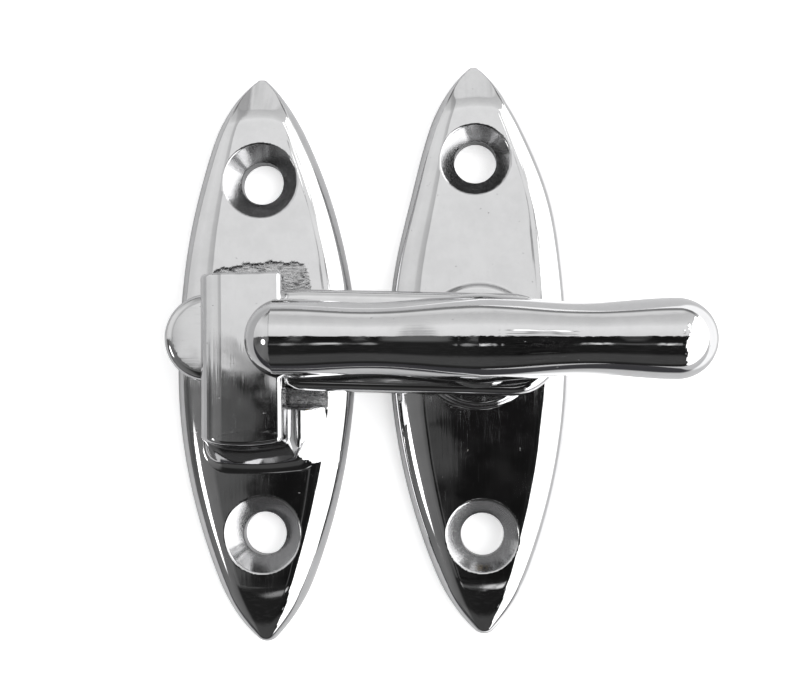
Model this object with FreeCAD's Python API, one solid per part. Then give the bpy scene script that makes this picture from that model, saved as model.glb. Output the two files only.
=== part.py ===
"""Casement window fastener: a pivoting tongue with a torpedo grip, and the hooked keep that it closes into.

Millimetres. The fastener lies as it is screwed on: backs of both plates on z = 0, +Z out of the window,
Y along the two leaf-shaped plates, X across the meeting stiles. The origin is on the pivot axis at the
back of the latch plate. The grip's free half points to +X and the tongue to -X, under the keep's hook.
"""
import FreeCAD, Part
import math
import os

V = FreeCAD.Vector

# Leaf-shaped plates
PLATE_HALF_LENGTH = 30.1
PLATE_HALF_WIDTH = 9.5
PLATE_THICK = 3.4
RIM_HEIGHT = 0.9
FLANK_RADIUS = 64.0
FLANK_REACH = 23.5
SHOULDER_RADIUS = 19.0
TIP_RADIUS = 1.3
FLAT_SHARE_WIDE = 0.60
FLAT_SHARE_LONG = 0.93
CROWN_LEVELS = 6

# Screw holes, for No. 8 countersunk wood screws
SCREW_HOLE_RADIUS = 2.25
LATCH_COUNTERSINK_RADIUS = 3.75
KEEP_COUNTERSINK_RADIUS = 4.0
LATCH_SCREW_REACH = 19.6
KEEP_SCREW_REACH = 18.6

# Where the keep stands from the pivot
KEEP_X = -22.8
KEEP_Y = -0.65

# Latch plate boss and the pivot's bearings
BOSS_RADIUS = 6.3
BOSS_TOP = 4.4
BOSS_FOOT_FILLET = 0.45
BORE_RADIUS = 2.56
RECESS_RADIUS = 4.6
RECESS_DEPTH = 1.9
RUNNING_GAP = 0.05

# Tongue
TONGUE_BOTTOM = 4.8
TONGUE_THICK = 2.6
TONGUE_HALF_WIDTH = 5.2
TONGUE_TAIL_CENTRE = 3.2
TONGUE_TAPER_START = -18.0
TONGUE_EAR_RADIUS = 4.5
TONGUE_EAR_CENTRE = -27.8
TONGUE_TOP_ROUND = 0.9
TONGUE_BOTTOM_ROUND = 0.4

# How far the turn stands short of fully home: grip, and the tongue set a little askew on its square
GRIP_REST_DEG = -1.1
TONGUE_REST_DEG = -2.4

# Grip
GRIP_AXIS_Z = 14.6
GRIP_HALF_LENGTH = 22.45
CREST_RADIUS = 4.2
CREST_SLOPE = -0.035
WAIST_RADIUS = 3.45
WAIST_X = 10.6
BULB_RADIUS = 3.88
BULB_X = 18.57
INNER_BULB_RADIUS = 3.84
INNER_BULB_X = -17.2
CREASE_X = -19.6
CREASE_RADIUS = 3.74
CREASE_SLOPE = 0.10
HALFWAY_TO_WAIST = 2.1
NECK_FOOT_RADIUS = 4.55
NECK_FOOT_HEIGHT = 0.25
NECK_WAIST_RADIUS = 3.55
NECK_WAIST_HEIGHT = 1.8
NECK_HEAD_RADIUS = 3.75
NECK_HEAD_BELOW_AXIS = 1.5
SOCKET_END_GAP = 0.2

# Spindle
SQUARE_SIDE = 3.6
SPINDLE_TOP = 13.2
JOURNAL_RADIUS = 2.5
TAIL_RADIUS = 1.9
TAIL_BOTTOM = 0.3
RIVET_HEAD_RADIUS = 2.7
RIVET_HEAD_THICK = 0.45
CROSS_PIN_RADIUS = 0.6
CROSS_PIN_Z = 9.0
CROSS_PIN_PROUD = 0.05

# Washers
THRUST_WASHER_RADIUS = 4.6
THRUST_WASHER_THICK = TONGUE_BOTTOM - BOSS_TOP - RUNNING_GAP
SPRING_WASHER_RADIUS = 4.2
SPRING_WASHER_THICK = 0.3
SPRING_WASHER_DISH = 0.3
BACK_WASHER_RADIUS = 3.6
BACK_WASHER_THICK = 0.45

# Hook of the keep
BRIDGE_TOP = 10.2
BRIDGE_BOTTOM = 7.7
BRIDGE_LEFT = -28.2
BRIDGE_RIGHT = -19.65
BRIDGE_END_Y = 7.45
BRIDGE_LEFT_ROUND = 2.3
BRIDGE_RIGHT_CHAMFER = 0.65
FOOT_INNER_Y = -6.1
FOOT_OUTER_Y = -9.75
FOOT_TOE_Y = -12.5
FOOT_SOLE_LEFT = -28.7
FOOT_SOLE_RIGHT = -16.7
FOOT_SOLE_Z = 2.3
FOOT_SECTIONS = (0.0, 0.15, 0.35, 0.6, 1.0)
FOOT_OVERSWEEP = 1.35
FOOT_EDGE_ROUND = 0.35
BRIDGE_END_ROUND = 0.4

# Shallow rough channel in the keep, under the bridge
CHANNEL_FLOOR = 2.95
CHANNEL_LEFT = -27.9
CHANNEL_LEFT_Y = 8.4
CHANNEL_CROWN_X = -21.5
CHANNEL_CROWN_Y = 9.2
CHANNEL_RIGHT = -17.8
CHANNEL_RIGHT_Y = 8.9
CHANNEL_SOLE_RIGHT = -15.3


def turned(shape, degrees):
    """The shape turned about the pivot axis."""
    shape.rotate(V(0, 0, 0), V(0, 0, 1), degrees)
    return shape


def polar(centre, radius, angle):
    """The point at an angle, in radians, on a circle about centre, in the plane z = 0."""
    return V(centre[0] + radius * math.cos(angle), centre[1] + radius * math.sin(angle), 0)


def arc_edge(centre, radius, start, end):
    """A circular edge between two angles in radians."""
    middle = (start + end) / 2
    ends = [polar(centre, radius, angle) for angle in (start, middle, end)]
    return Part.Arc(*ends).toShape()


def leaf_wire():
    """The plate's outline: two long flanks, tighter shoulders, and small round tips."""
    flank_x = PLATE_HALF_WIDTH - FLANK_RADIUS
    join = math.asin(FLANK_REACH / FLANK_RADIUS)
    inward = FLANK_RADIUS - SHOULDER_RADIUS
    shoulder = (flank_x + inward * math.cos(join), inward * math.sin(join))
    tip_distance = SHOULDER_RADIUS - TIP_RADIUS
    tip_y = shoulder[1] + math.sqrt(tip_distance ** 2 - shoulder[0] ** 2)
    tip_join = math.atan2(tip_y - shoulder[1], -shoulder[0])
    quarter = [arc_edge((flank_x, 0), FLANK_RADIUS, 0, join),
               arc_edge(shoulder, SHOULDER_RADIUS, join, tip_join),
               arc_edge((0, tip_y), TIP_RADIUS, tip_join, math.pi / 2)]
    edges = []
    for flip_x, flip_y in ((1, 1), (-1, 1), (-1, -1), (1, -1)):
        flip = FreeCAD.Matrix(flip_x, 0, 0, 0, 0, flip_y, 0, 0, 0, 0, 1, 0)
        for edge in quarter:
            edges.append(edge.transformGeometry(flip))
    return Part.Wire(Part.__sortEdges__(edges)), tip_y + TIP_RADIUS


def scaled_leaf(wide, high, z):
    """The outline shrunk across and along, at a height."""
    outline, tip = leaf_wire()
    fit_length = PLATE_HALF_LENGTH / tip
    return outline.transformGeometry(FreeCAD.Matrix(wide, 0, 0, 0, 0, high * fit_length, 0, 0, 0, 0, 1, z))


def leaf_plate():
    """A plate: an upright rim, a rounded flank, and a flat top that follows the outline."""
    rim = Part.Face(scaled_leaf(1, 1, 0)).extrude(V(0, 0, RIM_HEIGHT))
    rise = PLATE_THICK - RIM_HEIGHT
    wires = []
    for level in range(CROWN_LEVELS + 1):
        angle = math.radians(90) * level / CROWN_LEVELS
        inward = 1 - math.cos(angle)
        wide = 1 - (1 - FLAT_SHARE_WIDE) * inward
        high = 1 - (1 - FLAT_SHARE_LONG) * inward
        wires.append(scaled_leaf(wide, high, RIM_HEIGHT + rise * math.sin(angle)))
    crown = Part.makeLoft(wires, True, False)
    return rim.fuse(crown).removeSplitter()


def screw_hole(y, countersink_radius):
    """The tool that cuts one countersunk hole, at 90 degrees, open at both faces."""
    depth = countersink_radius - SCREW_HOLE_RADIUS
    hole = Part.makeCylinder(SCREW_HOLE_RADIUS, PLATE_THICK + 2, V(0, y, -1))
    above = 0.5
    start = V(0, y, PLATE_THICK - depth)
    sink = Part.makeCone(SCREW_HOLE_RADIUS, countersink_radius + above, depth + above, start)
    return hole.fuse(sink)


def round_edges(shape, radius, chosen):
    """Round the edges that a test picks; the shape comes back as it was where none are picked."""
    edges = [edge for edge in shape.Edges if chosen(edge)]
    return shape.makeFillet(radius, edges) if edges else shape


def latch_plate():
    """The plate that carries the turn: boss, bearing bore, and a recess at the back for the rivet."""
    body = leaf_plate()
    boss = Part.makeCylinder(BOSS_RADIUS, BOSS_TOP - RIM_HEIGHT, V(0, 0, RIM_HEIGHT))
    boss = round_edges(boss, BOSS_FOOT_FILLET, lambda edge: edge.BoundBox.ZMin > BOSS_TOP - 0.01)
    body = body.fuse(boss)
    for side in (-1, 1):
        body = body.cut(screw_hole(side * LATCH_SCREW_REACH, LATCH_COUNTERSINK_RADIUS))
    body = body.cut(Part.makeCylinder(BORE_RADIUS, BOSS_TOP + 2, V(0, 0, -1)))
    return body.cut(Part.makeCylinder(RECESS_RADIUS, RECESS_DEPTH + 1, V(0, 0, -1)))


def hook_section(low, spread):
    """The hook cut across: outer top corner round, inner one bevelled, sides set out by spread below them."""
    top, left, right = BRIDGE_TOP, BRIDGE_LEFT, BRIDGE_RIGHT
    turn, bevel = BRIDGE_LEFT_ROUND, BRIDGE_RIGHT_CHAMFER
    diagonal = turn * (1 - math.sqrt(0.5))
    y = FOOT_TOE_Y - 2
    lower = [V(right - bevel, y, top), V(right, y, top - bevel), V(right + spread, y, top - bevel),
             V(right + spread, y, low), V(left - spread, y, low), V(left - spread, y, top - turn),
             V(left, y, top - turn)]
    sides = [(start, end) for start, end in zip(lower, lower[1:]) if start.distanceToPoint(end) > 0]
    edges = [Part.makeLine(start, end) for start, end in sides]
    end = V(left + turn, y, top)
    edges.append(Part.Arc(lower[-1], V(left + diagonal, y, top - diagonal), end).toShape())
    edges.append(Part.makeLine(end, lower[0]))
    return Part.Face(Part.Wire(edges)), y


def hook_bridge():
    """The straight part of the hook, over the tongue."""
    section, y = hook_section(BRIDGE_BOTTOM, 0)
    bridge = section.extrude(V(0, BRIDGE_END_Y - y, 0))
    bridge = bridge.cut(Part.makeBox(20, 20, 20, V(BRIDGE_LEFT - 5, FOOT_INNER_Y - 20, 0)))
    return round_edges(bridge, BRIDGE_END_ROUND, lambda edge: edge.BoundBox.YMin > BRIDGE_END_Y - 0.01)


def hook_foot():
    """The foot: toe and inner flank sweep out in a hollow curve, to the full width of the plate's flat."""
    sections = []
    for share in FOOT_SECTIONS:
        sweep = (1 - share) ** 3
        z = FOOT_SOLE_Z + (BRIDGE_TOP - FOOT_SOLE_Z) * share
        toe = FOOT_OUTER_Y + (FOOT_TOE_Y - FOOT_OUTER_Y) * sweep * FOOT_OVERSWEEP
        left = BRIDGE_LEFT + (FOOT_SOLE_LEFT - BRIDGE_LEFT) * sweep
        right = BRIDGE_RIGHT + (FOOT_SOLE_RIGHT - BRIDGE_RIGHT) * sweep * FOOT_OVERSWEEP
        corners = [V(left, toe, z), V(right, toe, z), V(right, FOOT_INNER_Y, z), V(left, FOOT_INNER_Y, z)]
        sections.append(Part.makePolygon(corners + corners[:1]))
    clear_of_sole = 5
    section, y = hook_section(0, clear_of_sole)
    foot = Part.makeLoft(sections, True, False).common(section.extrude(V(0, FOOT_INNER_Y - y, 0)))

    def top_of_toe(edge):
        """Whether an edge runs across the toe's top, along the round corner or the flat."""
        box = edge.BoundBox
        at_toe = box.YMax < FOOT_OUTER_Y + 0.2
        at_top = box.ZMin > BRIDGE_TOP - BRIDGE_LEFT_ROUND - 0.1
        return at_toe and at_top and box.XLength > 0.5

    return round_edges(foot, FOOT_EDGE_ROUND, top_of_toe)


def channel():
    """The tool that cuts the shallow channel: flat floor, splayed right edge, and an arched open end."""
    z = CHANNEL_FLOOR
    corners = [V(CHANNEL_LEFT, CHANNEL_LEFT_Y, z), V(CHANNEL_LEFT, FOOT_INNER_Y, z),
               V(CHANNEL_SOLE_RIGHT, FOOT_INNER_Y, z), V(CHANNEL_RIGHT, CHANNEL_RIGHT_Y, z)]
    edges = [Part.makeLine(start, end) for start, end in zip(corners, corners[1:])]
    crown = V(CHANNEL_CROWN_X, CHANNEL_CROWN_Y, z)
    edges.append(Part.Arc(corners[-1], crown, corners[0]).toShape())
    return Part.Face(Part.Wire(edges)).extrude(V(0, 0, PLATE_THICK))


def keep_plate():
    """The keep: plate and hook are one casting."""
    body = leaf_plate()
    for side in (-1, 1):
        body = body.cut(screw_hole(side * KEEP_SCREW_REACH, KEEP_COUNTERSINK_RADIUS))
    body.translate(V(KEEP_X, KEEP_Y, 0))
    body = body.cut(channel())
    return body.fuse(hook_foot()).fuse(hook_bridge()).removeSplitter()


def tongue():
    """The bar that closes under the hook: round ends, tapering towards its ear, on the spindle's square."""
    lean = math.asin((TONGUE_HALF_WIDTH - TONGUE_EAR_RADIUS) / (TONGUE_TAPER_START - TONGUE_EAR_CENTRE))
    up = math.pi / 2
    start, ear = (TONGUE_TAPER_START, 0), (TONGUE_EAR_CENTRE, 0)
    tail = (TONGUE_TAIL_CENTRE, 0)
    wide, tip = TONGUE_HALF_WIDTH, TONGUE_EAR_RADIUS
    edges = [arc_edge(tail, wide, -up, up),
             Part.makeLine(polar(tail, wide, up), polar(start, wide, up)),
             arc_edge(start, wide, up, up + lean),
             Part.makeLine(polar(start, wide, up + lean), polar(ear, tip, up + lean)),
             arc_edge(ear, tip, up + lean, 3 * up - lean),
             Part.makeLine(polar(ear, tip, 3 * up - lean), polar(start, wide, 3 * up - lean)),
             arc_edge(start, wide, 3 * up - lean, 3 * up),
             Part.makeLine(polar(start, wide, -up), polar(tail, wide, -up))]
    bar = Part.Face(Part.Wire(edges)).extrude(V(0, 0, TONGUE_THICK))
    bar = round_edges(bar, TONGUE_TOP_ROUND, lambda edge: edge.BoundBox.ZMin > TONGUE_THICK - 0.01)
    bar = round_edges(bar, TONGUE_BOTTOM_ROUND, lambda edge: edge.BoundBox.ZMax < 0.01)
    bar.translate(V(0, 0, TONGUE_BOTTOM))
    bar = turned(bar, TONGUE_REST_DEG)
    return bar.cut(square_shank(0))


def square_shank(extra):
    """The square of the spindle, or the tool for its socket when extra is the end clearance."""
    half = SQUARE_SIDE / 2
    low = TONGUE_BOTTOM
    shank = Part.makeBox(SQUARE_SIDE, SQUARE_SIDE, SPINDLE_TOP - low + extra, V(-half, -half, low))
    return turned(shank, GRIP_REST_DEG)


def spline(points, start_slope, end_slope):
    """A smooth curve in the XZ plane through the points, with its end directions given as slopes."""
    curve = Part.BSplineCurve()
    curve.interpolate(Points=[V(x, 0, z) for x, z in points],
                      InitialTangent=V(1, 0, start_slope), FinalTangent=V(1, 0, end_slope))
    return curve.toShape()


def grip():
    """The torpedo: a crest over the pivot, two waists and two bulbs, and a neck down to the tongue."""
    between_radius = (WAIST_RADIUS + CREST_RADIUS) / 2
    between_x = WAIST_X / HALFWAY_TO_WAIST
    inner = spline([(CREASE_X, CREASE_RADIUS), (INNER_BULB_X, INNER_BULB_RADIUS), (-WAIST_X, WAIST_RADIUS),
                    (-between_x, between_radius), (0, CREST_RADIUS)], CREASE_SLOPE, -CREST_SLOPE)
    outer = spline([(0, CREST_RADIUS), (between_x, between_radius), (WAIST_X, WAIST_RADIUS),
                    (BULB_X, BULB_RADIUS)], CREST_SLOPE, 0)
    slant = BULB_RADIUS * math.sqrt(0.5)
    end = V(BULB_X + BULB_RADIUS, 0, 0)
    cap = Part.Arc(V(BULB_X, 0, BULB_RADIUS), V(BULB_X + slant, 0, slant), end).toShape()
    dome_length = CREASE_X + GRIP_HALF_LENGTH
    dome_radius = (CREASE_RADIUS ** 2 + dome_length ** 2) / (2 * dome_length)
    dome_centre = dome_radius - GRIP_HALF_LENGTH
    half_dome = math.asin(CREASE_RADIUS / dome_radius) / 2
    dome = Part.Arc(V(CREASE_X, 0, CREASE_RADIUS),
                    V(dome_centre - dome_radius * math.cos(half_dome), 0, dome_radius * math.sin(half_dome)),
                    V(-GRIP_HALF_LENGTH, 0, 0)).toShape()
    profile = [dome, inner, outer, cap, Part.makeLine(end, V(-GRIP_HALF_LENGTH, 0, 0))]
    body = Part.Face(Part.Wire(Part.__sortEdges__(profile))).revolve(V(0, 0, 0), V(1, 0, 0), 360)
    body.translate(V(0, 0, GRIP_AXIS_Z))
    body = turned(body.fuse(neck()), GRIP_REST_DEG)
    return body.cut(square_shank(SOCKET_END_GAP)).cut(cross_pin())


def neck():
    """The grip's neck: a flared foot on the tongue, a waist, and a head that ends inside the torpedo."""
    low = TONGUE_BOTTOM + TONGUE_THICK
    high = GRIP_AXIS_Z - NECK_HEAD_BELOW_AXIS
    rim = V(NECK_FOOT_RADIUS, 0, low + NECK_FOOT_HEIGHT)
    waist = V(NECK_WAIST_RADIUS, 0, low + NECK_WAIST_HEIGHT)
    head = V(NECK_HEAD_RADIUS, 0, high)
    curve = Part.BSplineCurve()
    inward, upward = V(-1, 0, 0.15), V(0.3, 0, 1)
    curve.interpolate(Points=[rim, waist, head], InitialTangent=inward, FinalTangent=upward)
    profile = [Part.makeLine(V(0, 0, low), V(NECK_FOOT_RADIUS, 0, low)),
               Part.makeLine(V(NECK_FOOT_RADIUS, 0, low), rim),
               curve.toShape(),
               Part.makeLine(head, V(0, 0, high)),
               Part.makeLine(V(0, 0, high), V(0, 0, low))]
    return Part.Face(Part.Wire(profile)).revolve(V(0, 0, 0), V(0, 0, 1), 360)


def cross_pin():
    """The pin through neck and spindle, filed flush."""
    reach = NECK_WAIST_RADIUS + CROSS_PIN_PROUD
    pin = Part.makeCylinder(CROSS_PIN_RADIUS, 2 * reach, V(-reach, 0, CROSS_PIN_Z), V(1, 0, 0))
    return turned(pin, GRIP_REST_DEG)


def spindle():
    """The spindle: a square for tongue and grip, a round journal in the boss, and a riveted tail."""
    journal_low = RECESS_DEPTH - SPRING_WASHER_THICK - SPRING_WASHER_DISH
    journal = Part.makeCylinder(JOURNAL_RADIUS, TONGUE_BOTTOM - journal_low, V(0, 0, journal_low))
    tail = Part.makeCylinder(TAIL_RADIUS, journal_low - TAIL_BOTTOM, V(0, 0, TAIL_BOTTOM))
    head_low = journal_low - BACK_WASHER_THICK - RIVET_HEAD_THICK
    head = Part.makeCylinder(RIVET_HEAD_RADIUS, RIVET_HEAD_THICK, V(0, 0, head_low))
    head = round_edges(head, RIVET_HEAD_THICK * 0.8, lambda edge: edge.BoundBox.ZMax < head_low + 0.01)
    return square_shank(0).fuse(journal).fuse(tail).fuse(head).cut(cross_pin()).removeSplitter()


def ring(outer, inner, thick, z):
    """A flat washer."""
    return Part.makeCylinder(outer, thick, V(0, 0, z)).cut(Part.makeCylinder(inner, thick + 2, V(0, 0, z - 1)))


def thrust_washer():
    """The washer between boss and tongue."""
    return ring(THRUST_WASHER_RADIUS, JOURNAL_RADIUS, THRUST_WASHER_THICK, BOSS_TOP + RUNNING_GAP)


def back_washer():
    """The washer that the spindle's tail is riveted over."""
    low = RECESS_DEPTH - SPRING_WASHER_THICK - SPRING_WASHER_DISH - BACK_WASHER_THICK
    return ring(BACK_WASHER_RADIUS, TAIL_RADIUS, BACK_WASHER_THICK, low)


def spring_washer():
    """A dished washer: its rim presses on the plate, its inner edge on the back washer."""
    inner = JOURNAL_RADIUS
    outer = SPRING_WASHER_RADIUS
    high = RECESS_DEPTH - RUNNING_GAP
    thick, dish = SPRING_WASHER_THICK - RUNNING_GAP, SPRING_WASHER_DISH
    section = [V(inner, 0, high - dish - thick), V(outer, 0, high - thick),
               V(outer, 0, high), V(inner, 0, high - dish)]
    return Part.Face(Part.makePolygon(section + section[:1])).revolve(V(0, 0, 0), V(0, 0, 1), 360)


NODES = {"keep_plate": keep_plate, "latch_plate": latch_plate, "tongue": tongue, "grip": grip,
         "spindle": spindle, "grip_pin": cross_pin, "thrust_washer": thrust_washer,
         "spring_washer": spring_washer, "back_washer": back_washer}

os.makedirs("parts", exist_ok=True)
for name, make in NODES.items():
    solid = make()
    solid.exportStep(os.path.join("parts", name + ".step"))
    box = solid.BoundBox
    print(name, solid.isValid(), len(solid.Solids), round(solid.Volume, 2),
          [round(v, 2) for v in (box.XMin, box.YMin, box.ZMin, box.XMax, box.YMax, box.ZMax)])
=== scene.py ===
"""Looks of the casement window fastener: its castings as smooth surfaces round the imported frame, their
materials, a pale floor and a studio.

Each casting is a signed distance in millimetres: below zero inside the metal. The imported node's own mesh is
remeshed to small quads, and its points are then drawn onto the surface where the distance is zero.
"""
import math

import bpy
import numpy as np
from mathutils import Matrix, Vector


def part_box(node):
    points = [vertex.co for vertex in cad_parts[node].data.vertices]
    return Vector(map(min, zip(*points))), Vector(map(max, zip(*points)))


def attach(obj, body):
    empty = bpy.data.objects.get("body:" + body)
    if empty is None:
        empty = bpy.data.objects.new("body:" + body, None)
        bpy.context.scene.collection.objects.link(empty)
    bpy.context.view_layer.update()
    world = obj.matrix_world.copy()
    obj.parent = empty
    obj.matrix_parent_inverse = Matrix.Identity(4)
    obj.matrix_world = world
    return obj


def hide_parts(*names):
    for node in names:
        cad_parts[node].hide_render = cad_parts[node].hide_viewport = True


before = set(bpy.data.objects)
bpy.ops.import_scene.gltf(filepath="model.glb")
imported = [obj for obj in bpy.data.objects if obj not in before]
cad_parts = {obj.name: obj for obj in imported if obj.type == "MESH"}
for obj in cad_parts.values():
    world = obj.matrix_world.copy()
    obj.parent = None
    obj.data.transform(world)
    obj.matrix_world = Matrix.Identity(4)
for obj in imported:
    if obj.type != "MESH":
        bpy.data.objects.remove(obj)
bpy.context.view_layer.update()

MM = 0.001

# Lengths are in millimetres. The turn's axis is the Z axis, and the plates' backs are at z = 0.

# Edge radii that several castings share
FINE_EDGE = 0.05
SHARP_EDGE = 0.1

# Leaf-shaped plates: the outline
HALF_WIDTH = 9.5
FLANK_RADIUS = 64.0
FLANK_REACH = 23.5
SHOULDER_RADIUS = 19.0
UPPER_TIP_RADIUS = 0.45
LOWER_TIP_RADIUS = 1.3
LENGTH_FIT = 0.992

# The plates' rim, the bevel that narrows towards the tips, and the slopes that fall away at the tips
RIM_HEIGHT = 0.9
PLATE_TOP = 3.4
BEVEL_WIDTH = 3.8
BEVEL_END = 31.0
BEVEL_TAPER = 0.6
BEVEL_LEAST = 0.02
TIP_FALL = math.radians(29)
TIP_FALL_START = 25.7
TIP_FALL_BOW = 0.05
LOWER_FALL_SHIFT = 0.8
UPPER_FALL_EDGE = 0.4
LOWER_FALL_EDGE = 1.2
BACK_EDGE = 0.15

# Countersunk screw holes
SCREW_RADIUS = 2.25
SINK_PLACE = {"latch": 19.6, "keep": 18.6}
SINK_RADIUS = {"latch": 3.75, "keep": 4.0}
SINK_EDGE = 0.08

# How the castings bend sideways: middle and spread along the plate, and the most
LATCH_BEND = (16, 7, 0.5)
KEEP_BENDS = ((5, 9, 0.25), (25, 5, -0.25))

# Latch plate
BOSS_RADIUS = 6.3
BOSS_TOP = 4.4
BOSS_EDGE = 0.45
BOSS_FILLET = 0.4
BORE_RADIUS = 2.56
RECESS_RADIUS = 4.6
RECESS_DEPTH = 1.9

# Keep plate: its middle, and the cast pocket with a ragged edge of three waves (size, rate, start)
KEEP_X = -22.8
KEEP_Y = -0.65
POCKET_LEFT = -27.9
POCKET_RIGHT = -17.0
POCKET_SPLAY = 0.165
POCKET_SPLAY_FROM = 4.0
POCKET_CROWN_X = -21.5
POCKET_CROWN_Y = 9.2
POCKET_BOW = 0.02
POCKET_RAGGED = ((0.10, 2.3, 1.0), (0.07, 5.1, 0.0), (0.05, 11.0, 2.0))
POCKET_FLOOR = 2.95
POCKET_RISE = 0.42
POCKET_FEATHER = 3.2
POCKET_CORNER = 1.2
POCKET_END_CORNER = 0.3
POCKET_EDGE = 0.06

# Hook: the bridge, its slot, and the foot that sweeps out on its way down
HOOK_TOP = 10.2
HOOK_UNDER = 7.7
HOOK_LEFT = -28.2
HOOK_RIGHT = -19.65
HOOK_END = 7.45
HOOK_MIDDLE = -23.4
HOOK_ROOT = 1.8
HOOK_FILLET = 0.55
FOOT_INNER = -6.1
FOOT_OUTER = -9.95
BRIDGE_ROLL = 2.6
BRIDGE_END_EDGE = 0.4
SLOT_CORNER = 0.8
SLOT_EDGE = 0.3
SWEEP_BOTTOM = 2.3
SWEEP_SLANT = 0.95
TOE_BOW = 0.03
TOE_SWEEP = 3.9
TOE_EDGE = 0.4
TOE_EDGE_SWEEP = 2.4
RIGHT_SWEEP = 4.5
RIGHT_EDGE = 0.5
RIGHT_EDGE_SWEEP = 0.8
LEFT_SWEEP = 0.5

# Tongue: its round places, each by its X and its radius
TONGUE_REST = math.radians(-2.4)
TONGUE_TAIL = (3.2, 5.2)
TONGUE_WAIST = (-18.0, 5.2)
TONGUE_EAR = (-27.8, 4.5)
TONGUE_LOW = 4.8
TONGUE_HIGH = 7.4
TONGUE_TOP_EDGE = 1.0
TONGUE_LOW_EDGE = 0.4

# Grip: radii along its axis, a slight ridge round the crest, and a crease before the left end's dome
GRIP_REST = math.radians(-1.1)
GRIP_Z = 14.6
CREST = 4.2
WAIST = 3.45
WAIST_X = 10.6
BULB = 3.88
BULB_X = 18.57
CREASE_X = -19.6
CREASE_DEPTH = 0.04
RIDGE_REACH = 2.0
RIDGE_FALL = 0.04

# Grip's neck, which flares onto the tongue
NECK_RADIUS = 3.55
NECK_FLARE = 1.0
NECK_FLARE_FROM = 0.2
NECK_FLARE_FALL = 0.55
NECK_HEAD_EDGE = 0.2
NECK_FILLET = 1.2

# Spindle's square, its socket in the grip, and the cross pin
SQUARE_SIDE = 3.6
SOCKET_TOP = 13.4
PIN_RADIUS = 0.6
PIN_Z = 9.0


# Distances ----------------------------------------------------------------------------------------------

def join(a, b, radius):
    """Two bodies as one, with a fillet of that radius where they meet."""
    u, v = np.maximum(radius - a, 0), np.maximum(radius - b, 0)
    return np.maximum(radius, np.minimum(a, b)) - np.hypot(u, v)


def both(a, b, radius):
    """What two bodies share, with its edge rounded to that radius."""
    u, v = np.maximum(radius + a, 0), np.maximum(radius + b, 0)
    return np.minimum(-radius, np.maximum(a, b)) + np.hypot(u, v)


def cut(a, hole, radius):
    """A body less a hole, with the hole's edge rounded to that radius."""
    return both(a, -hole, radius)


def turned(x, y, angle):
    """Coordinates in a frame turned about the pivot."""
    c, s = math.cos(angle), math.sin(angle)
    return c * x + s * y, c * y - s * x


def leaf(x, y):
    """Distance to the leaf outline, in its plane."""
    reach = math.asin(FLANK_REACH / FLANK_RADIUS)
    flank_x = HALF_WIDTH - FLANK_RADIUS
    inward = FLANK_RADIUS - SHOULDER_RADIUS
    shoulder_x, shoulder_y = flank_x + inward * math.cos(reach), inward * math.sin(reach)
    high = np.abs(y) / LENGTH_FIT
    sides = []
    for side in (1, -1):
        across = side * x
        past = high * math.cos(reach) > (across - flank_x) * math.sin(reach)
        flank = np.hypot(across - flank_x, high) - FLANK_RADIUS
        shoulder = np.hypot(across - shoulder_x, high - shoulder_y) - SHOULDER_RADIUS
        sides.append(np.where(past, shoulder, flank))
    return both(sides[0], sides[1], np.where(y > 0, UPPER_TIP_RADIUS, LOWER_TIP_RADIUS))


def plate(x, y, z):
    """A plate with no holes: upright rim, a bevel that rolls over onto the flat top, and tips that fall."""
    rise = PLATE_TOP - RIM_HEIGHT
    bevel = BEVEL_WIDTH * np.maximum(1 - (y / BEVEL_END) ** 2, BEVEL_LEAST) ** BEVEL_TAPER
    out = np.maximum(1 + leaf(x, y) / bevel, 0)
    up = np.maximum((z - RIM_HEIGHT) / rise, 0)
    crown = (np.hypot(out, up) - 1) * rise
    start = TIP_FALL_START - TIP_FALL_BOW * x ** 2
    above = (z - PLATE_TOP) * math.cos(TIP_FALL)
    upper_fall = above + (y - start) * math.sin(TIP_FALL)
    lower_fall = above - (y + start + LOWER_FALL_SHIFT) * math.sin(TIP_FALL)
    body = both(both(crown, upper_fall, UPPER_FALL_EDGE), lower_fall, LOWER_FALL_EDGE)
    return both(body, -z, BACK_EDGE)


def bend(along, middle, spread, most):
    """How far a casting stands to the side at a place along it."""
    return most * np.exp(-((along - middle) / spread) ** 2)


def screw_hole(x, y, z, radius):
    """A countersunk hole about the Z axis."""
    r = np.hypot(x, y)
    depth = radius - SCREW_RADIUS
    sink = (r - SCREW_RADIUS - (z - PLATE_TOP + depth)) * math.sqrt(0.5)
    return np.minimum(sink, r - SCREW_RADIUS)


def screw_holes(x, y, z, which):
    """Both countersunk holes of a plate, as one hole."""
    return screw_hole(x, np.abs(y) - SINK_PLACE[which], z, SINK_RADIUS[which])


def latch_plate(x, y, z):
    """The plate at the pivot: round boss, screw holes, bore, and the washers' recess in its back."""
    r = np.hypot(x, y)
    body = plate(x - bend(y, *LATCH_BEND), y, z)
    boss = both(r - BOSS_RADIUS, z - BOSS_TOP, BOSS_EDGE)
    body = join(body, both(boss, -z, SHARP_EDGE), BOSS_FILLET)
    body = cut(body, screw_holes(x, y, z, "latch"), SINK_EDGE)
    recess = np.maximum(r - RECESS_RADIUS, z - RECESS_DEPTH)
    return cut(cut(body, r - BORE_RADIUS, SHARP_EDGE), recess, SHARP_EDGE)


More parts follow.
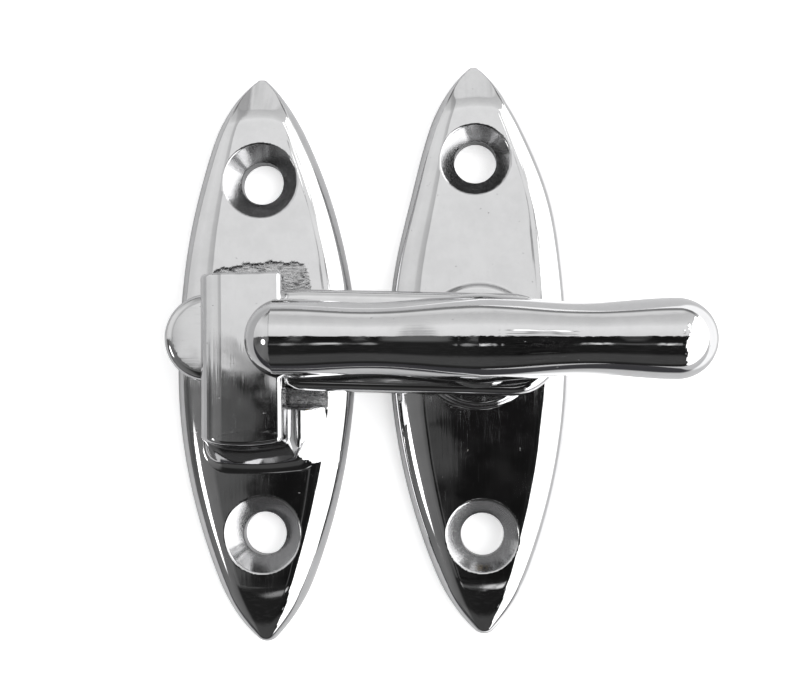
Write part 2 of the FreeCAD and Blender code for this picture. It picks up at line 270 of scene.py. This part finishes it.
def hook(x, y, z):
    """The hook: a foot that sweeps out at toe and inner flank, and the bridge over the tongue's slot."""
    sweep = np.clip((HOOK_TOP - z) / (HOOK_TOP - SWEEP_BOTTOM), 0, 1) ** 3
    toe = FOOT_OUTER + TOE_BOW * (x - HOOK_MIDDLE) ** 2 * (1 - sweep) - TOE_SWEEP * sweep
    right = HOOK_RIGHT + RIGHT_SWEEP * sweep
    left = HOOK_LEFT - LEFT_SWEEP * sweep
    body = both(left - x, z - HOOK_TOP, BRIDGE_ROLL)
    body = both(body, (x - right) * SWEEP_SLANT, RIGHT_EDGE + RIGHT_EDGE_SWEEP * sweep)
    body = both(body, (toe - y) * SWEEP_SLANT, TOE_EDGE + TOE_EDGE_SWEEP * sweep)
    body = both(body, y - HOOK_END, BRIDGE_END_EDGE)
    slot = both(z - HOOK_UNDER, FOOT_INNER - y, SLOT_CORNER)
    return cut(body, slot, SLOT_EDGE)


def pocket(x, y, z):
    """The cast pocket that the tongue passes over, left unpolished: deep by the hook, feathering out."""
    ragged = sum(size * np.sin(rate * x + start) for size, rate, start in POCKET_RAGGED)
    arch = POCKET_CROWN_Y - POCKET_BOW * (x - POCKET_CROWN_X) ** 2 + ragged
    edge = POCKET_RIGHT - POCKET_SPLAY * (y - POCKET_SPLAY_FROM) + ragged / 2
    outline = both(y - arch, x - edge, POCKET_CORNER)
    outline = both(outline, FOOT_INNER - y, POCKET_END_CORNER)
    outline = both(outline, POCKET_LEFT - x, POCKET_END_CORNER)
    feather = np.clip((x - edge + POCKET_FEATHER) / POCKET_FEATHER, 0, 1) ** 2
    return both(outline, POCKET_FLOOR + POCKET_RISE * feather - z, FINE_EDGE)


def keep_plate(x, y, z):
    """The plate that holds the tongue: screw holes, the cast pocket, and the hook that stands on it."""
    u, v = x - KEEP_X, y - KEEP_Y
    body = plate(u - sum(bend(v, *one) for one in KEEP_BENDS), v, z)
    body = cut(body, screw_holes(u, v, z, "keep"), SINK_EDGE)
    body = cut(body, pocket(x, y, z), POCKET_EDGE)
    return join(body, both(hook(x, y, z), HOOK_ROOT - z, SHARP_EDGE), HOOK_FILLET)


def square(x, y):
    """Distance across to the spindle's square."""
    x, y = turned(x, y, GRIP_REST)
    return np.maximum(np.abs(x), np.abs(y)) - SQUARE_SIDE / 2


def bar(x, y, start, end):
    """Outline of a bar between two round places, the second further left than the first."""
    (x0, r0), (x1, r1) = start, end
    lean = math.asin((r0 - r1) / (x0 - x1))
    along = (x0 - x) * math.cos(lean) - np.abs(y) * math.sin(lean)
    share = np.clip(along / ((x0 - x1) * math.cos(lean)), 0, 1)
    return np.hypot(x - x0 - share * (x1 - x0), y) - (r0 + share * (r1 - r0))


def tongue(x, y, z):
    """The flat bar that passes under the hook's bridge, with the spindle's square hole."""
    hole = square(x, y)
    x, y = turned(x, y, TONGUE_REST)
    outline = np.minimum(bar(x, y, TONGUE_TAIL, TONGUE_WAIST), bar(x, y, TONGUE_WAIST, TONGUE_EAR))
    body = both(outline, z - TONGUE_HIGH, TONGUE_TOP_EDGE)
    return cut(both(body, TONGUE_LOW - z, TONGUE_LOW_EDGE), hole, FINE_EDGE)


def half_wave(share):
    """From 0 to 1 in a smooth curve, as share goes from 0 to 1."""
    return 0.5 - 0.5 * np.cos(np.pi * share)


def grip(x, y, z):
    """The torpedo-shaped handle and its neck, with the spindle's socket and the cross pin's hole."""
    socket = np.maximum(square(x, y), z - SOCKET_TOP)
    x, y = turned(x, y, GRIP_REST)
    pin = np.hypot(y, z - PIN_Z) - PIN_RADIUS
    far = np.abs(x)
    bulb = np.where(x > 0, BULB, BULB - CREASE_DEPTH)
    inner = CREST + (WAIST - CREST) * half_wave(np.minimum(far / WAIST_X, 1))
    outer = WAIST + (bulb - WAIST) * half_wave(np.clip((far - WAIST_X) / (BULB_X - WAIST_X), 0, 1))
    ridge = RIDGE_FALL * np.minimum(far / RIDGE_REACH, 1)
    r = np.hypot(y, z - GRIP_Z)
    body = r - np.where(far < WAIST_X, inner, outer) + ridge
    cap = np.hypot(x - BULB_X, r) - BULB + RIDGE_FALL
    dome = np.hypot(x + BULB_X, r) - BULB
    body = np.where(x > BULB_X, cap, body)
    body = np.where(x < CREASE_X, dome, body)
    above = np.maximum(z - TONGUE_HIGH - NECK_FLARE_FROM, 0)
    neck_radius = NECK_RADIUS + NECK_FLARE * np.exp(-above / NECK_FLARE_FALL)
    neck = both(np.hypot(x, y) - neck_radius, z - GRIP_Z, NECK_HEAD_EDGE)
    body = join(body, both(neck, TONGUE_HIGH - z, SHARP_EDGE), NECK_FILLET)
    return cut(cut(body, socket, FINE_EDGE), pin, FINE_EDGE)


# Meshes -------------------------------------------------------------------------------------------------

QUAD = 0.2
KEEP_QUAD = 0.17
LEAST_SLOPE = 1e-3
TINY = 1e-9


def gradient(distance, points, step=0.004):
    """The distance's slope at each point."""
    slope = np.empty_like(points)
    for axis in range(3):
        shift = np.zeros(3)
        shift[axis] = step
        slope[:, axis] = (distance(*(points + shift).T) - distance(*(points - shift).T)) / (2 * step)
    return slope


def drawn_on(distance, points, rounds=8, reach=0.25):
    """The points moved onto the surface, by at most reach in each round."""
    for _ in range(rounds):
        slope = gradient(distance, points)
        size = np.maximum((slope ** 2).sum(1), LEAST_SLOPE)
        move = -(distance(*points.T) / size)[:, None] * slope
        length = np.linalg.norm(move, axis=1)[:, None]
        points = points + move * np.minimum(1, reach / np.maximum(length, TINY))
    return points


def casting(name, node, distance, body, marks=(), quad=QUAD):
    """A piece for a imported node: its mesh in quads of that size, drawn onto the surface.

    marks are named functions of the points, from 0 to 1, that the materials read.
    """
    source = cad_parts[node]
    mesh = source.data.copy()
    piece = bpy.data.objects.new(name, mesh)
    bpy.context.scene.collection.objects.link(piece)
    modifier = piece.modifiers.new("quads", "REMESH")
    modifier.mode = "VOXEL"
    modifier.voxel_size = quad * MM
    shape = bpy.data.meshes.new_from_object(piece.evaluated_get(bpy.context.evaluated_depsgraph_get()))
    piece.modifiers.clear()
    piece.data = shape
    bpy.data.meshes.remove(mesh)
    shape.name = name
    shape.materials.clear()
    co = np.empty(len(shape.vertices) * 3)
    shape.vertices.foreach_get("co", co)
    low, high = (np.array(corner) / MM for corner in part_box(node))
    points = np.clip(drawn_on(distance, co.reshape(-1, 3) / MM), low, high)
    shape.vertices.foreach_set("co", (points * MM).ravel())
    shape.update()
    shape.shade_smooth()
    normals = gradient(distance, points)
    normals /= np.maximum(np.linalg.norm(normals, axis=1), TINY)[:, None]
    shape.normals_split_custom_set_from_vertices(normals.tolist())
    for mark, share in dict(marks).items():
        layer = shape.attributes.new(mark, "FLOAT", "POINT")
        layer.data.foreach_set("value", np.clip(share(*points.T), 0, 1).astype(np.float32))
    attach(piece, body)
    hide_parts(node)
    return piece


# Where a casting isn't buffed: how far from a surface its mark reaches, and over what length it fades
SATIN_REACH = 0.06
SATIN_FADE = 0.06
POCKET_MARK_REACH = 0.12
POCKET_MARK_FADE = 0.10
BACK_MARK_REACH = 0.192
BACK_MARK_FADE = 0.12
ON_TOP = 0.1


def near(distance, reach, fade):
    """1 at a surface, falling to 0 at that reach."""
    return (reach - np.abs(distance)) / fade


def keep_satin(x, y, z):
    """1 in the countersinks."""
    return near(screw_holes(x - KEEP_X, y - KEEP_Y, z, "keep"), SATIN_REACH, SATIN_FADE)


def latch_satin(x, y, z):
    """1 in the countersinks and the bore."""
    bore = np.abs(np.hypot(x, y) - BORE_RADIUS)
    nearest = np.minimum(np.abs(screw_holes(x, y, z, "latch")), bore)
    return near(nearest, SATIN_REACH, SATIN_FADE)


def latch_cast(x, y, z):
    """1 on the back."""
    return near(z, BACK_MARK_REACH, BACK_MARK_FADE)


def keep_cast(x, y, z):
    """1 in the pocket and on the back."""
    in_pocket = near(pocket(x, y, z), POCKET_MARK_REACH, POCKET_MARK_FADE)
    return np.maximum(np.where(z < PLATE_TOP + ON_TOP, in_pocket, 0), latch_cast(x, y, z))


# Materials ----------------------------------------------------------------------------------------------

# Chrome: the size of each kind of mark and how deep it goes, and how far streaks are drawn out by buffing
WAVE_SIZE = 5.0
WAVE_DEPTH = 0.024
STREAK_SIZE = 0.55
STREAK_DEPTH = 0.0012
HAIR_SIZE = 0.05
HAIR_DEPTH = 0.0002
SPECK_SIZE = 0.55
SPECK_DEPTH = 0.002
CLOUD_SIZE = 2.6
LATHE_SIZE = 0.12
LATHE_DEPTH = 0.0025
PIT_SIZE = 0.28
PIT_DEPTH = 0.09
DRAWN_OUT = 14
HAIR_LENGTH = 3
BLUENESS = 0.005

# Roughness and tone of each finish, from one end of its noise to the other
BUFFED_ROUGH = (0.03, 0.075)
BUFFED_TONE = (0.585, 0.625)
LATHE_ROUGH = (0.11, 0.22)
LATHE_TONE = (0.36, 0.48)
CAST_ROUGH = (0.5, 0.2)
CAST_TONE = (0.16, 0.64)
HAIR_ROUGH = 0.05
SPECK_ROUGH = 0.3
SPECK_DARK = 0.25
SCRATCH_ROUGH = 0.08

# Spans of noise that the finishes use: most of it, its upper part, its highest places, its lower part
MOST = (0.3, 0.7)
UPPER = (0.35, 0.7)
HIGHEST = (0.6, 0.75)
SPECKS = (0.72, 0.79)
PITTED = (0.3, 0.55)
PITTED_DARK = (0.33, 0.50)

# Turned metal
TARNISH_SIZE = 1.4
RING_SIZE = 0.16
RING_DEPTH = 0.003
SCRATCH_SIZE = 0.05
SCRATCH_DEPTH = 0.001


def add(tree, kind, inputs=(), **settings):
    """One shader node: its settings, and its inputs as values or as sockets to link from."""
    made = tree.nodes.new("ShaderNode" + kind)
    for key, value in settings.items():
        setattr(made, key, value)
    for key, value in dict(inputs).items():
        if isinstance(value, bpy.types.NodeSocket):
            tree.links.new(value, made.inputs[key])
        else:
            made.inputs[key].default_value = value
    return made


def maths(tree, operation, a, b=0.0):
    """A Math node's result."""
    return add(tree, "Math", {0: a, 1: b}, operation=operation).outputs[0]


def plus(tree, a, b):
    """a and b added."""
    return maths(tree, "ADD", a, b)


def minus(tree, a, b):
    """a less b."""
    return maths(tree, "SUBTRACT", a, b)


def times(tree, a, b):
    """a and b multiplied."""
    return maths(tree, "MULTIPLY", a, b)


def ease(tree, value, start, end, low=0.0, high=1.0):
    """A value eased from low to high while another goes from start to end."""
    limits = {"Value": value, "From Min": start, "From Max": end, "To Min": low, "To Max": high}
    return add(tree, "MapRange", limits, interpolation_type="SMOOTHSTEP").outputs[0]


def blend(tree, share, a, b):
    """Value a where share is 0, b where it is 1."""
    return add(tree, "Mix", {"Factor": share, "A": a, "B": b}).outputs[0]


def noise(tree, place, scale, detail, rough=0.5):
    """Soft noise about 0.5."""
    inputs = {"Vector": place, "Scale": scale, "Detail": detail, "Roughness": rough}
    return add(tree, "TexNoise", inputs).outputs[0]


def grain(tree, place, size, stretch=(1, 1, 1), detail=3.0, rough=0.5):
    """Noise with features of that size, in millimetres, drawn out by stretch along each axis."""
    scale = [1 / (size * MM * s) for s in stretch]
    spot = add(tree, "Mapping", {"Vector": place, "Scale": scale}).outputs[0]
    return noise(tree, spot, 1.0, detail, rough)


def bumped(tree, height, depth, normal=None):
    """A surface raised by up to depth millimetres where height goes from 0 to 1."""
    inputs = {"Height": height, "Distance": depth * MM, "Strength": 1.0}
    if normal:
        inputs["Normal"] = normal
    return add(tree, "Bump", inputs).outputs[0]


def grey(tree, value):
    """A grey of that value, a touch blue."""
    channels = {"Red": value, "Green": value, "Blue": plus(tree, value, BLUENESS)}
    return add(tree, "CombineColor", channels).outputs[0]


def blank(name):
    """A new metal: its tree, its shader and the piece's own coordinates."""
    made = bpy.data.materials.new(name)
    made.use_nodes = True
    tree = made.node_tree
    shader = tree.nodes["Principled BSDF"]
    shader.inputs["Metallic"].default_value = 1.0
    return made, tree, shader, add(tree, "TexCoord").outputs["Object"]


def chrome(name, along, casting_marks=True):
    """Hand-buffed chrome: slow waves and fine streaks along the buffing, specks, and marked bare areas."""
    made, tree, shader, place = blank(name)
    waves = grain(tree, place, WAVE_SIZE, detail=1.0)
    drawn_out = [DRAWN_OUT if axis == along else 1 for axis in "XYZ"]
    streaks = grain(tree, place, STREAK_SIZE, drawn_out, detail=2.0)
    hairs = grain(tree, place, HAIR_SIZE, [HAIR_LENGTH * s for s in drawn_out], detail=1.0)
    cloud = grain(tree, place, CLOUD_SIZE, detail=4.0, rough=0.6)
    speck = ease(tree, grain(tree, place, SPECK_SIZE, (1.6, 1, 1), detail=2.0, rough=0.6), *SPECKS)
    normal = bumped(tree, waves, WAVE_DEPTH)
    normal = bumped(tree, streaks, STREAK_DEPTH, normal)
    normal = bumped(tree, hairs, HAIR_DEPTH, normal)
    normal = bumped(tree, speck, -SPECK_DEPTH, normal)
    rough = ease(tree, cloud, *UPPER, *BUFFED_ROUGH)
    rough = plus(tree, rough, ease(tree, hairs, *HIGHEST, 0.0, HAIR_ROUGH))
    rough = plus(tree, rough, times(tree, speck, SPECK_ROUGH))
    tone = ease(tree, cloud, *MOST, *BUFFED_TONE)
    tone = minus(tree, tone, times(tree, speck, SPECK_DARK))
    if casting_marks:
        satin = add(tree, "Attribute", attribute_name="satin").outputs["Fac"]
        cast = add(tree, "Attribute", attribute_name="cast").outputs["Fac"]
        lathe = grain(tree, place, LATHE_SIZE, (1, 1, 0.6), detail=2.0)
        pits = grain(tree, place, PIT_SIZE, (3.0, 1, 1), detail=4.0, rough=0.6)
        rough = blend(tree, satin, rough, ease(tree, lathe, *MOST, *LATHE_ROUGH))
        tone = blend(tree, satin, tone, ease(tree, lathe, *MOST, *LATHE_TONE))
        rough = blend(tree, cast, rough, ease(tree, pits, *PITTED, *CAST_ROUGH))
        tone = blend(tree, cast, tone, ease(tree, pits, *PITTED_DARK, *CAST_TONE))
        normal = bumped(tree, times(tree, lathe, satin), LATHE_DEPTH, normal)
        normal = bumped(tree, times(tree, pits, cast), PIT_DEPTH, normal)
    tree.links.new(grey(tree, tone), shader.inputs["Base Color"])
    tree.links.new(rough, shader.inputs["Roughness"])
    tree.links.new(normal, shader.inputs["Normal"])
    return made


def turned_metal(name, dark, light, rough_low, rough_high):
    """Metal from the lathe: rings about the part's axis, a hazy tarnish, and scratches."""
    made, tree, shader, place = blank(name)
    cloud = grain(tree, place, TARNISH_SIZE, detail=4.0, rough=0.6)
    spot = add(tree, "Mapping", {"Vector": place, "Scale": [1 / MM] * 3}).outputs[0]
    uneven = {"Distortion": 1.5, "Detail": 2.0, "Detail Scale": 2.0}
    rings = add(tree, "TexWave", {"Vector": spot, "Scale": 1 / (10 * RING_SIZE), **uneven},
                wave_type="RINGS", rings_direction="Z").outputs["Fac"]
    scratches = grain(tree, place, SCRATCH_SIZE, (16, 1, 5), detail=1.0)
    tarnish = {"Factor": ease(tree, cloud, *UPPER), "A": (*dark, 1), "B": (*light, 1)}
    tone = add(tree, "Mix", tarnish, data_type="RGBA")
    tree.links.new(tone.outputs["Result"], shader.inputs["Base Color"])
    haze = ease(tree, cloud, *MOST, rough_low, rough_high)
    rough = plus(tree, haze, ease(tree, scratches, *HIGHEST, 0.0, SCRATCH_ROUGH))
    tree.links.new(rough, shader.inputs["Roughness"])
    normal = bumped(tree, scratches, SCRATCH_DEPTH, bumped(tree, rings, RING_DEPTH))
    tree.links.new(normal, shader.inputs["Normal"])
    return made


steel = turned_metal("bright steel", (0.30, 0.30, 0.31), (0.50, 0.50, 0.52), 0.18, 0.34)
spring = turned_metal("spring steel", (0.10, 0.105, 0.13), (0.24, 0.245, 0.27), 0.22, 0.42)
brass = turned_metal("brass", (0.38, 0.25, 0.09), (0.72, 0.52, 0.22), 0.16, 0.36)
for node, metal in {"spindle": steel, "grip_pin": steel, "spring_washer": spring, "thrust_washer": brass,
                    "back_washer": brass}.items():
    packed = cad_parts[node].data
    packed.materials.clear()
    packed.materials.append(metal)

plate_chrome = chrome("buffed chrome on the plates", "Y")
turn_chrome = chrome("buffed chrome on the turn", "X", casting_marks=False)
latch_piece = casting("latch_plate_casting", "latch_plate", latch_plate, "plates",
                      {"satin": latch_satin, "cast": latch_cast})
keep_piece = casting("keep_plate_casting", "keep_plate", keep_plate, "plates",
                     {"satin": keep_satin, "cast": keep_cast}, KEEP_QUAD)
tongue_piece = casting("tongue_casting", "tongue", tongue, "turn")
grip_piece = casting("grip_casting", "grip", grip, "turn")
for piece in (latch_piece, keep_piece):
    piece.data.materials.append(plate_chrome)
for piece in (tongue_piece, grip_piece):
    piece.data.materials.append(turn_chrome)


# Studio -------------------------------------------------------------------------------------------------

# Brightness of the studio by direction, as (place, brightness) from -1 to 1: from left to right behind the
# object, in front of it, low in front, and along a broken bright line low in front
BEHIND = [(-1, 1.15), (-0.8, 1.3), (-0.5, 1.25), (-0.42, 0.98), (-0.25, 0.85), (-0.225, 1.4), (1, 1.4)]
FRONT = [(-1, 0.25), (-0.955, 0.12), (-0.8, 0.30), (-0.35, 0.26), (-0.21, 0.17), (-0.187, 0.13),
         (-0.178, 0.03), (-0.165, 0.012), (-0.12, 0.015), (-0.07, 0.15), (-0.034, 0.10), (-0.030, 0.012),
         (0.04, 0.012), (0.3, 0.02), (1, 0.02)]
LOW_FRONT = [(-1, 0.25), (-0.8, 0.3), (-0.5, 0.2), (-0.36, 0.03), (0.3, 0.015), (1, 0.02)]
BRIGHT_LINE = [(-1, 0), (-0.17, 0), (-0.145, 0.5), (-0.10, 0.4), (-0.06, 0.12), (0.0, 0.12), (0.012, 1.1),
               (0.042, 1.1), (0.048, 0.3), (0.056, 1.5), (0.1, 1.2), (0.12, 0.2), (0.14, 0.9), (0.155, 0),
               (1, 0)]
# And from front to back, behind the object
RISE = [(-1, 1.0), (0.05, 0.96), (0.3, 1.03), (0.5, 1.06), (0.62, 0.9), (0.72, 0.8), (0.90, 0.70),
        (0.96, 0.95), (1, 0.9)]

# How far folds in the studio's cloth move what lies in them
CLOTH_SCALE = 26.0
HIGH_FOLD = 0.13
SIDE_FOLD = 0.05
LOOSE_FOLD = 0.11

# Where the studio changes from one thing to the next, as spans of a direction
FRONT_TO_BACK = (0.042, 0.056)
LOW_TO_UPPER_FRONT = (-0.28, -0.12)
LINE_STARTS = (-0.42, -0.36)
LINE_ENDS = (-0.34, -0.28)
BOTTOM = (-0.84, -0.74)
BOTTOM_LIGHT = 0.08
BLOTCHES = (0.5, 0.64)
BLOTCH_LIGHT = 0.015
ASIDE = (0.45, 0.75)
HORIZON = (0.10, 0.20)
HORIZON_SHADE = 0.3

# The white panel at the right and the frame beside it, both along a torn edge that leans with the height
TORN_SCALE = 5.0
TORN_FRONT = (-0.25, 0.0)
TORN_DEPTH = (0.35, 1.1)
LEAN_BACK = (0.3, 0.85)
LEAN_BACK_DEPTH = 0.45
LEAN_FRONT = (-0.25, -0.02)
LEAN_FRONT_DEPTH = 0.07
PANEL_STARTS = (0.37, 0.41)
PANEL_LIGHT = 3.6
FRAME_STARTS = (0.30, 0.34)
FRAME_ENDS = (0.35, 0.37)
FRAME_SHADE = 0.45

# The lamp at the left: its direction, how sharply it ends, and its brightness
LAMP = (-0.82, -0.17, 0.545)
LAMP_EDGE = (0.991, 0.996)
LAMP_LIGHT = 7.0

# Floor: its size in metres, and its tone and glow as the lens sees it
FLOOR_SIZE = 8
FLOOR_ROUGH = 0.9
FLOOR_SHEEN = 0.1
FLOOR_TONE = 0.8
FLOOR_GLOW = 0.55

# Floor in reflections only: painted shade, where it lightens from the front and from the left, and its two
# glowing strips, which paint highlights in the chrome
FRONT_SHADE_SPAN = (-42 * MM, -30 * MM)
FRONT_SHADE_TONE = (0.05, 0.72)
LEFT_SHADE_SPAN = (-60 * MM, -34 * MM)
LEFT_SHADE_TONE = (0.75, 1.0)
HIGHLIGHT_STRIP_STARTS = (8.5 * MM, 9.5 * MM)
HIGHLIGHT_STRIP_ENDS = (12 * MM, 16 * MM)
HIGHLIGHT_STRIP_GLOW = 0.8
FAR_HIGHLIGHT_STRIP_STARTS = (33 * MM, 42 * MM)
FAR_HIGHLIGHT_STRIP_GLOW = 0.7

# Camera
SENSOR = 36
LENS = 56.25
NEAREST = 0.005
FURTHEST = 50
CAMERA_PLACE = (-0.395, -8.03, 133.23)
CAMERA_TURN = (3.90, 3.49, -0.862)


def graph(tree, value, points):
    """A line through points whose first numbers run from -1 to 1, for a value from -1 to 1."""
    brightest = max(height for _, height in points)
    half = plus(tree, times(tree, value, 0.5), 0.5)
    ramp = add(tree, "ValToRGB", {"Fac": half})
    stops = ramp.color_ramp.elements
    for stop, (place, _) in zip((stops[0], stops[1]), (points[0], points[-1])):
        stop.position = (place + 1) / 2
    for place, _ in points[1:-1]:
        stops.new((place + 1) / 2)
    for stop, (_, height) in zip(stops, points):
        stop.color = (height / brightest,) * 3 + (1,)
    return times(tree, ramp.outputs[0], brightest)


def dark_front(tree, x, side, high, cloth, folds):
    """The room in front: dark, blotched, greyer at the bottom, with the broken bright line."""
    loose = plus(tree, x, times(tree, folds, LOOSE_FOLD))
    upper = graph(tree, loose, FRONT)
    lower = graph(tree, loose, LOW_FRONT)
    front = blend(tree, ease(tree, high, *LOW_TO_UPPER_FRONT), lower, upper)
    bottom = ease(tree, high, *BOTTOM, BOTTOM_LIGHT, 0.0)
    blotch = ease(tree, cloth, *BLOTCHES, 0.0, BLOTCH_LIGHT)
    front = plus(tree, front, plus(tree, bottom, blotch))
    in_line = times(tree, ease(tree, high, *LINE_STARTS), ease(tree, high, *LINE_ENDS, 1, 0))
    return plus(tree, front, times(tree, graph(tree, side, BRIGHT_LINE), in_line))


def torn_panel(tree, direction, x, y):
    """The white panel at the right, with a torn edge, and the shade of the frame beside it."""
    torn = minus(tree, noise(tree, direction, TORN_SCALE, 1.5), 0.5)
    edge = plus(tree, x, times(tree, torn, ease(tree, y, *TORN_FRONT, *TORN_DEPTH)))
    edge = minus(tree, edge, ease(tree, y, *LEAN_BACK, 0.0, LEAN_BACK_DEPTH))
    edge = plus(tree, edge, ease(tree, y, *LEAN_FRONT, LEAN_FRONT_DEPTH, 0.0))
    panel = ease(tree, edge, *PANEL_STARTS, 0.0, PANEL_LIGHT)
    in_frame = times(tree, ease(tree, edge, *FRAME_STARTS), ease(tree, edge, *FRAME_ENDS, 1, 0))
    return panel, ease(tree, in_frame, 0, 1, 1, FRAME_SHADE)


def studio():
    """A soft studio by direction: bright behind, dark in front, a white panel to the right, a lamp left."""
    world = bpy.data.worlds.new("studio")
    bpy.context.scene.world = world
    world.use_nodes = True
    tree = world.node_tree
    tree.nodes.clear()
    direction = add(tree, "TexCoord").outputs["Generated"]
    x, y, z = add(tree, "SeparateXYZ", {0: direction}).outputs
    cloth = noise(tree, direction, CLOTH_SCALE, 2.0)
    folds = minus(tree, cloth, 0.5)
    high = plus(tree, y, times(tree, folds, HIGH_FOLD))
    side = plus(tree, x, times(tree, folds, SIDE_FOLD))

    behind = times(tree, graph(tree, side, BEHIND), graph(tree, high, RISE))
    front = dark_front(tree, x, side, high, cloth, folds)
    room = blend(tree, ease(tree, high, *FRONT_TO_BACK), front, behind)
    aside = ease(tree, maths(tree, "ABSOLUTE", x), *ASIDE)
    horizon = maths(tree, "MAXIMUM", ease(tree, z, *HORIZON, HORIZON_SHADE, 1.0), aside)
    panel, frame_shade = torn_panel(tree, direction, x, y)
    room = times(tree, times(tree, room, horizon), frame_shade)

    toward = add(tree, "VectorMath", {0: direction, 1: LAMP}, operation="DOT_PRODUCT").outputs["Value"]
    lamp = ease(tree, toward, *LAMP_EDGE, 0.0, LAMP_LIGHT)
    light = plus(tree, maths(tree, "MAXIMUM", room, panel), lamp)
    background = add(tree, "Background", {"Strength": light})
    tree.links.new(background.outputs[0], add(tree, "OutputWorld").inputs[0])


def pale_floor():
    """A pale sheet with a glow for the lens; only in reflections, painted shade darkens it to the front and
    left, and two glowing strips paint highlights.
    """
    bpy.ops.mesh.primitive_plane_add(size=FLOOR_SIZE)
    floor = bpy.context.object
    floor.name = "floor"
    made = bpy.data.materials.new("pale floor")
    made.use_nodes = True
    tree = made.node_tree
    shader = tree.nodes["Principled BSDF"]
    shader.inputs["Roughness"].default_value = FLOOR_ROUGH
    shader.inputs["Specular IOR Level"].default_value = FLOOR_SHEEN
    shader.inputs["Emission Color"].default_value = (1, 1, 1, 1)
    seen = add(tree, "LightPath").outputs["Is Camera Ray"]
    x, y, _ = add(tree, "SeparateXYZ", {0: add(tree, "TexCoord").outputs["Object"]}).outputs
    # Painted shade: only in reflections, the floor is darker to the front and to the left
    front_shade = ease(tree, y, *FRONT_SHADE_SPAN, *FRONT_SHADE_TONE)
    left_shade = ease(tree, x, *LEFT_SHADE_SPAN, *LEFT_SHADE_TONE)
    tone = blend(tree, seen, times(tree, front_shade, left_shade), FLOOR_TONE)
    tree.links.new(grey(tree, tone), shader.inputs["Base Color"])
    # Painted highlights: two glowing strips that show only in reflections, the near one bowed like the
    # plates' flanks
    bow = maths(tree, "DIVIDE", times(tree, y, y), 2 * FLANK_RADIUS * MM)
    off_middle = plus(tree, x, bow)
    highlight_strip = ease(tree, off_middle, *HIGHLIGHT_STRIP_ENDS, HIGHLIGHT_STRIP_GLOW, 0.0)
    highlight_strip = times(tree, ease(tree, off_middle, *HIGHLIGHT_STRIP_STARTS), highlight_strip)
    glow = maths(tree, "MAXIMUM", highlight_strip, ease(tree, x, *FAR_HIGHLIGHT_STRIP_STARTS, 0.0, FAR_HIGHLIGHT_STRIP_GLOW))
    tree.links.new(blend(tree, seen, glow, FLOOR_GLOW), shader.inputs["Emission Strength"])
    floor.data.materials.append(made)


scene = bpy.context.scene
scene.view_settings.view_transform = "Standard"
studio()
pale_floor()

lens = bpy.data.cameras.new("camera")
camera = bpy.data.objects.new("camera", lens)
scene.collection.objects.link(camera)
scene.camera = camera
lens.sensor_width = SENSOR
lens.lens = LENS
lens.clip_start = NEAREST
lens.clip_end = FURTHEST
camera.location = Vector(CAMERA_PLACE) * MM
camera.rotation_euler = [math.radians(a) for a in CAMERA_TURN]
